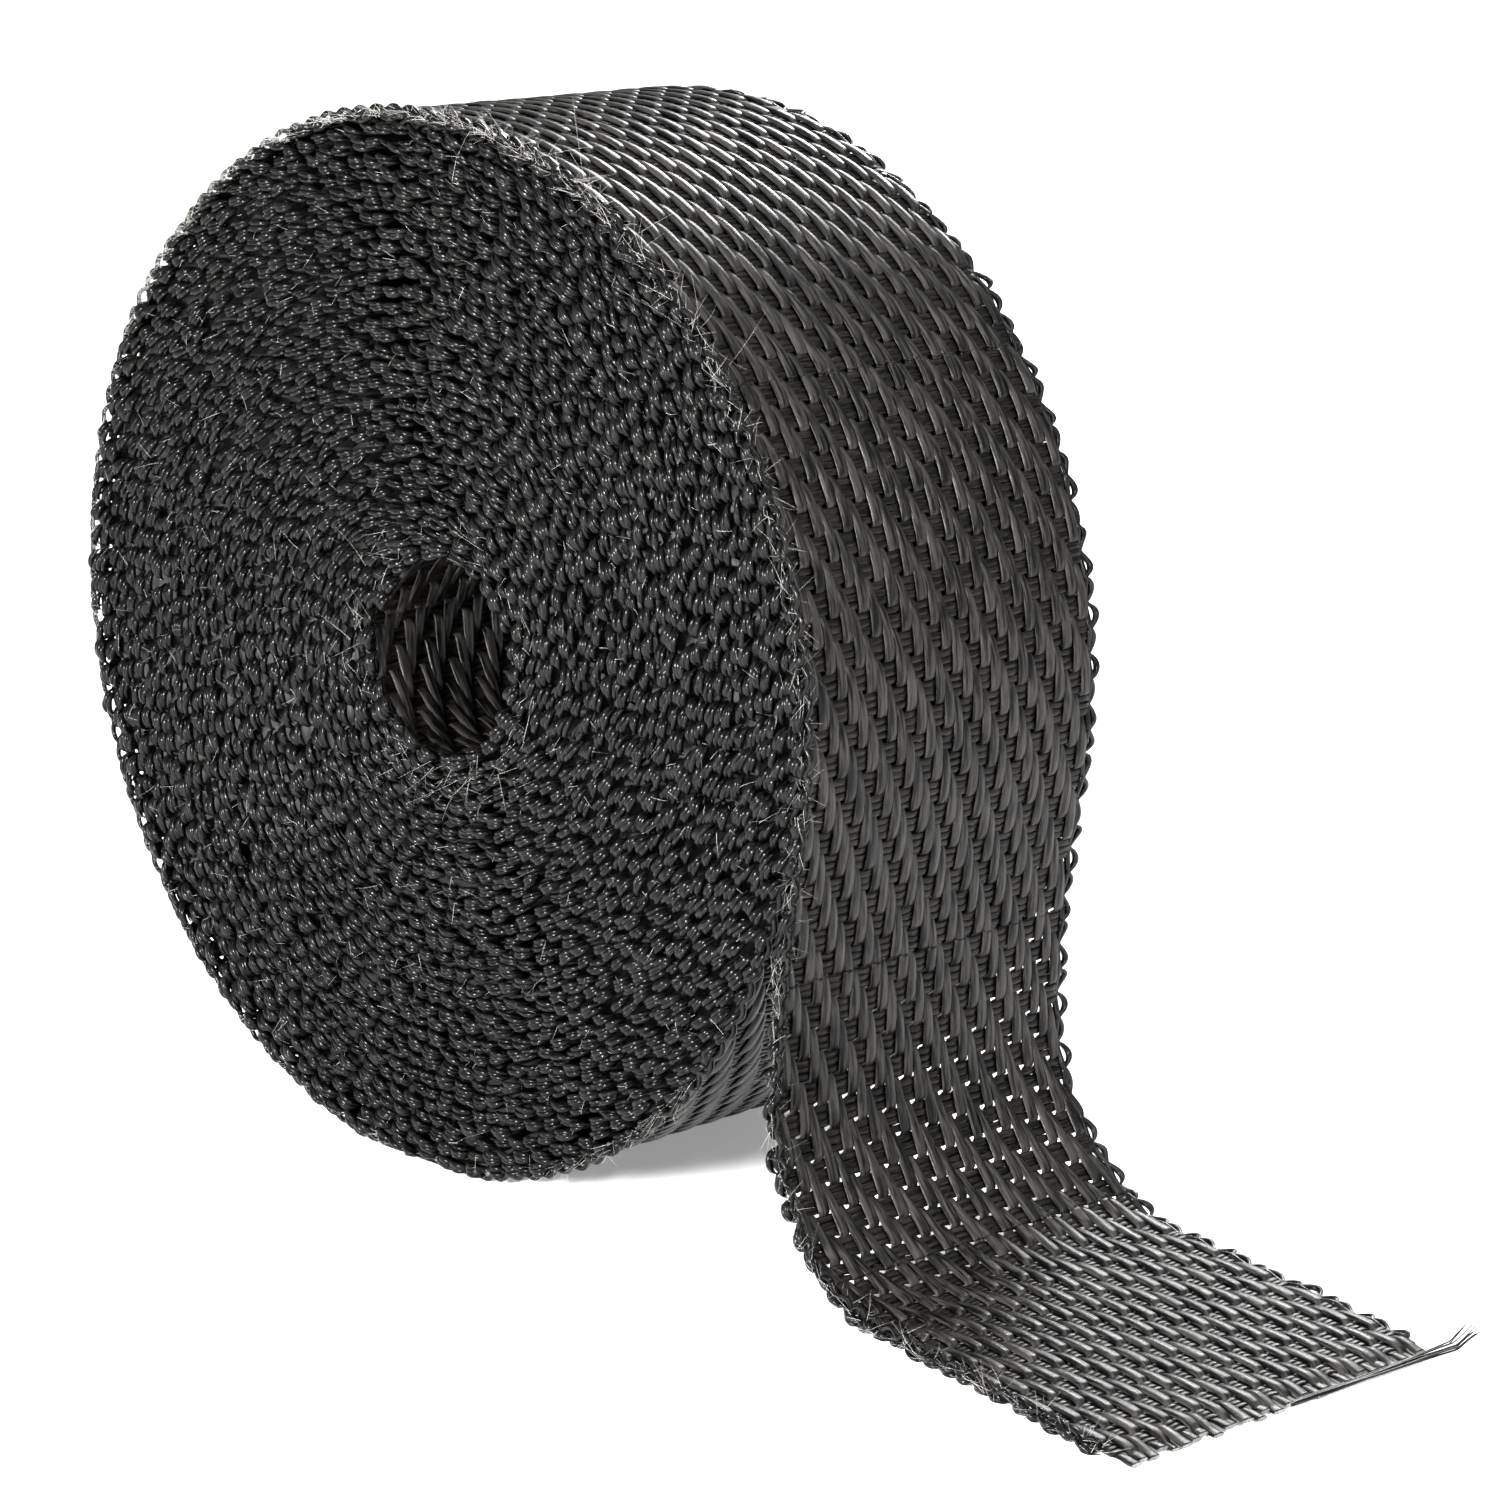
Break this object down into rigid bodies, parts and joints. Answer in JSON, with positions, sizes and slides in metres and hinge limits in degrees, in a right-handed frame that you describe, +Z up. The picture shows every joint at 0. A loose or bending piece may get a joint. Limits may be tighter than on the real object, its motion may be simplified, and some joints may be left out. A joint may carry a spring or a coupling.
{
  "type": "woven heat wrap tape roll",
  "caption": "Coreless roll of woven black fibre tape standing on its rim, with its loose tail dropping to the floor and lying flat to a cut end.",
  "frame": {"origin": "on the floor under the roll's axis, in the middle of the flat facet that the outermost turn rests on, halfway across the tape", "axes": "+Z up, Y along the roll's axis with the front selvedge at -Y, +X towards the tape's loose end"},
  "size_m": [0.1971, 0.062, 0.1297],
  "materials": {
    "tape_weave": "twill of flat fibre rovings, dull sheen",
    "selvedge_yarn": "looped fibre yarn, bright on its bends, fuzzy",
    "cut_yarn": "cut fibre rovings, frayed tips"
  },
  "bodies": {
    "coil": {"coil_inner_end": "tape_weave", "coil_turns_01_08": "tape_weave", "coil_turns_09_16": "tape_weave", "coil_turns_17_24": "tape_weave", "coil_turns_25_30": "tape_weave"},
    "outer_wrap": {"outer_wrap_weave": "tape_weave", "outer_wrap_front_selvedge": "selvedge_yarn", "outer_wrap_rear_selvedge": "selvedge_yarn"},
    "tail_drop": {"tail_drop_weave": "tape_weave", "tail_drop_front_selvedge": "selvedge_yarn", "tail_drop_rear_selvedge": "selvedge_yarn"},
    "tail_foot": {"tail_foot_weave": "tape_weave", "tail_foot_front_selvedge": "selvedge_yarn", "tail_foot_rear_selvedge": "selvedge_yarn"},
    "tail_tip": {"tail_tip_weave": "tape_weave", "tail_tip_front_selvedge": "selvedge_yarn", "tail_tip_rear_selvedge": "selvedge_yarn", "cut_warp_ends": "cut_yarn", "loose_weft_strand": "cut_yarn"}
  },
  "joints": [
    {"name": "outer_wrap_peel", "type": "hinge", "parent": "coil", "child": "outer_wrap", "pos_m": [0.00685, 0, 0.12906], "axis": [0, -1, 0], "range_deg": [0, 35]},
    {"name": "tail_swing", "type": "hinge", "parent": "outer_wrap", "child": "tail_drop", "pos_m": [0.06413, 0, 0.05068], "axis": [0, -1, 0], "range_deg": [0, 50]},
    {"name": "foot_bend", "type": "hinge", "parent": "tail_drop", "child": "tail_foot", "pos_m": [0.06101, 0, 0.02097], "axis": [0, -1, 0], "range_deg": [0, 55]},
    {"name": "tip_curl", "type": "hinge", "parent": "tail_foot", "child": "tail_tip", "pos_m": [0.09498, -0.00633, 0.0006], "axis": [-0.061, -0.9981, 0], "range_deg": [0, 45]}
  ]
}
